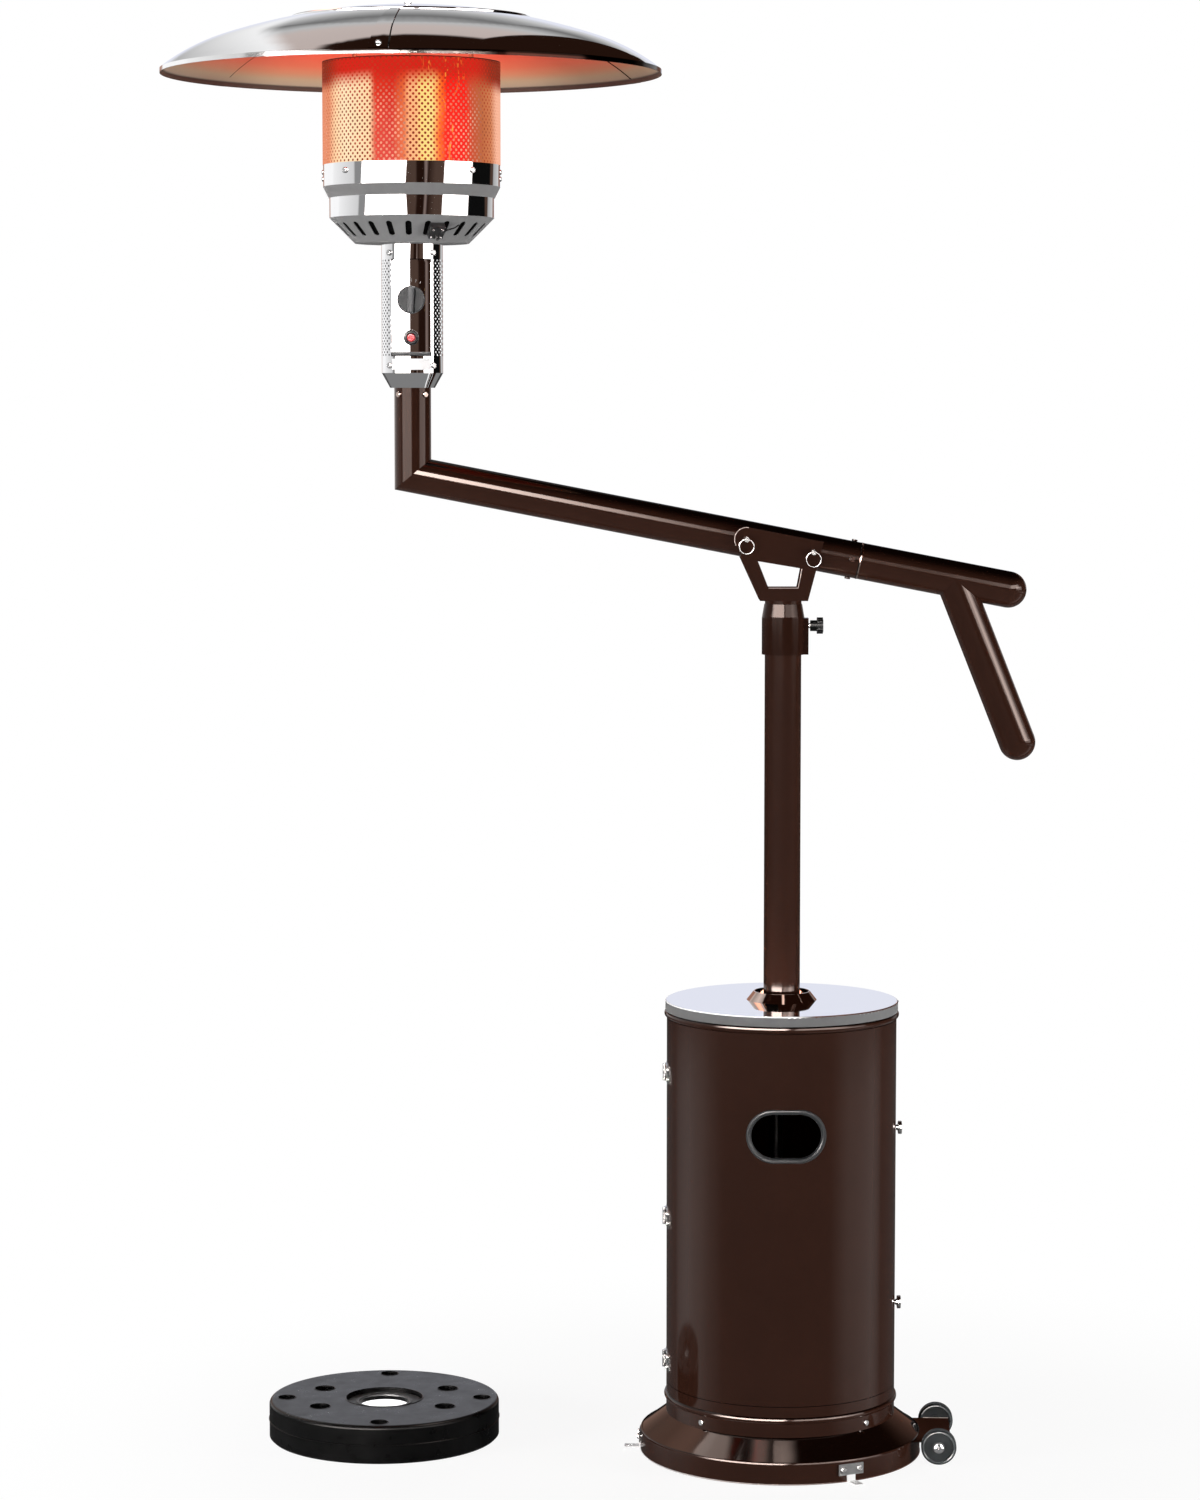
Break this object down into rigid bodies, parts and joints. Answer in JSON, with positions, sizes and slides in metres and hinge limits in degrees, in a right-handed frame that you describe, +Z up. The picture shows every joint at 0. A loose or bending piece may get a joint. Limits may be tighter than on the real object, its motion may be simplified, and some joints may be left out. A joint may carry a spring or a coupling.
{
  "type": "cantilever patio heater",
  "caption": "Free-standing gas patio heater with a round cylinder housing, a pole, a swivelling cantilever arm and a perforated emitter under a segmented domed reflector.",
  "frame": {"origin": "centre of the base on the floor, on the pole's axis", "axes": "+Z up along the pole; -Y towards the front, where the door and the gas knob are; -X along the arm towards the heater head"},
  "size_m": [1.4295, 0.8139, 2.3813],
  "materials": {
    "brown_paint": "gloss",
    "plated_steel": "polished",
    "polished_steel": "mirror",
    "polished_aluminium": "mirror",
    "burner_steel": "perforated, glowing in use",
    "valve_brass": "satin",
    "black_plastic": "satin",
    "red_plastic": "gloss",
    "wheel_rubber": "matte"
  },
  "bodies": {
    "base": {"base_skirt": "brown_paint", "tank_platform": "plated_steel", "lower_ring": "brown_paint", "base_screws": "plated_steel", "rear_shell": "brown_paint", "upper_ring": "brown_paint", "top_cover": "polished_steel", "support_legs": "plated_steel", "pole_plate": "plated_steel", "flange_ring": "brown_paint", "lower_pole": "brown_paint", "swivel_collar": "brown_paint", "anchor_brackets": "plated_steel", "wheel_bracket": "brown_paint", "wheel_axle": "plated_steel", "hinge_leaves_rear": "plated_steel"},
    "door": {"door_panel": "brown_paint", "door_grommet": "black_plastic", "hinge_leaves_door": "plated_steel", "hinge_screws": "plated_steel"},
    "latch_upper": {"latch_screw_upper": "plated_steel"},
    "latch_lower": {"latch_screw_lower": "plated_steel"},
    "wheel_front": {"wheel_front": "wheel_rubber"},
    "wheel_rear": {"wheel_rear": "wheel_rubber"},
    "clamp": {"clamp_knob": "black_plastic", "clamp_stud": "plated_steel"},
    "arm": {"cheek_front": "brown_paint", "cheek_rear": "brown_paint", "swivel_stub": "brown_paint", "arm_tube": "brown_paint", "head_post": "brown_paint", "tail_tube": "brown_paint", "tail_grip": "brown_paint", "arm_screws": "plated_steel", "control_cone": "polished_steel", "control_guard": "polished_steel", "control_panel": "polished_steel", "neck_ring": "polished_steel", "head_screws": "plated_steel", "valve_body": "valve_brass", "igniter_body": "black_plastic", "tilt_switch": "black_plastic", "cup_lower": "polished_steel", "cup_upper": "polished_steel", "burner_head": "burner_steel", "emitter_screen": "burner_steel", "emitter_lid": "burner_steel", "reflector_studs": "plated_steel", "reflector_panel_1": "polished_aluminium", "reflector_panel_2": "polished_aluminium", "reflector_panel_3": "polished_aluminium", "reflector_cap": "polished_aluminium"},
    "spindle": {"valve_spindle": "plated_steel"},
    "knob": {"control_knob": "black_plastic"},
    "igniter": {"igniter_button": "red_plastic"},
    "pin_left": {"lock_pin_left": "plated_steel"},
    "pin_right": {"lock_pin_right": "plated_steel"},
    "ring_left": {"pull_ring_left": "plated_steel"},
    "ring_right": {"pull_ring_right": "plated_steel"},
    "ballast": {"ballast_reservoir": "black_plastic"}
  },
  "joints": [
    {"name": "arm_swivel", "type": "hinge", "parent": "base", "child": "arm", "pos_m": [0, 0, 1.39], "axis": [0, 0, 1], "range_deg": [-180, 180]},
    {"name": "clamp_turn", "type": "hinge", "parent": "base", "child": "clamp", "pos_m": [0.0413, 0, 1.377], "axis": [1, 0, 0], "continuous": true},
    {"name": "door_swing", "type": "hinge", "parent": "base", "child": "door", "pos_m": [-0.1936, 0, 0.3945], "axis": [0, 0, -1], "range_deg": [0, 110]},
    {"name": "latch_upper_turn", "type": "hinge", "parent": "base", "child": "latch_upper", "pos_m": [0.187, -0.0116, 0.545], "axis": [1, 0, 0], "continuous": true},
    {"name": "latch_lower_turn", "type": "hinge", "parent": "base", "child": "latch_lower", "pos_m": [0.187, -0.0116, 0.251], "axis": [1, 0, 0], "continuous": true},
    {"name": "wheel_front_spin", "type": "hinge", "parent": "base", "child": "wheel_front", "pos_m": [0.25709, -0.10059, 0.0292], "axis": [0.0523, 0.9986, 0], "continuous": true},
    {"name": "wheel_rear_spin", "type": "hinge", "parent": "base", "child": "wheel_rear", "pos_m": [0.26619, 0.07317, 0.0292], "axis": [0.0523, 0.9986, 0], "continuous": true},
    {"name": "knob_push", "type": "slide", "parent": "arm", "child": "spindle", "axis": [0, 1, 0], "range_m": [0, 0.003], "stiffness_N_per_m": 2000},
    {"name": "knob_turn", "type": "hinge", "parent": "spindle", "child": "knob", "pos_m": [-0.607, -0.045, 1.908], "axis": [0, -1, 0], "range_deg": [0, 180]},
    {"name": "igniter_push", "type": "slide", "parent": "arm", "child": "igniter", "axis": [0, 1, 0], "range_m": [0, 0.004], "stiffness_N_per_m": 1500},
    {"name": "pin_left_pull", "type": "slide", "parent": "arm", "child": "pin_left", "axis": [0, -1, 0], "range_m": [0, 0.08]},
    {"name": "ring_left_flip", "type": "hinge", "parent": "pin_left", "child": "ring_left", "pos_m": [-0.06166, -0.0383, 1.5196], "axis": [-1, 0, 0], "range_deg": [0, 150]},
    {"name": "pin_right_pull", "type": "slide", "parent": "arm", "child": "pin_right", "axis": [0, -1, 0], "range_m": [0, 0.08]},
    {"name": "ring_right_flip", "type": "hinge", "parent": "pin_right", "child": "ring_right", "pos_m": [0.04782, -0.0383, 1.49847], "axis": [-1, 0, 0], "range_deg": [0, 150]},
    {"name": "ballast_lift", "type": "slide", "parent": "base", "child": "ballast", "axis": [0, 0, 1], "range_m": [0, 0.25]}
  ]
}
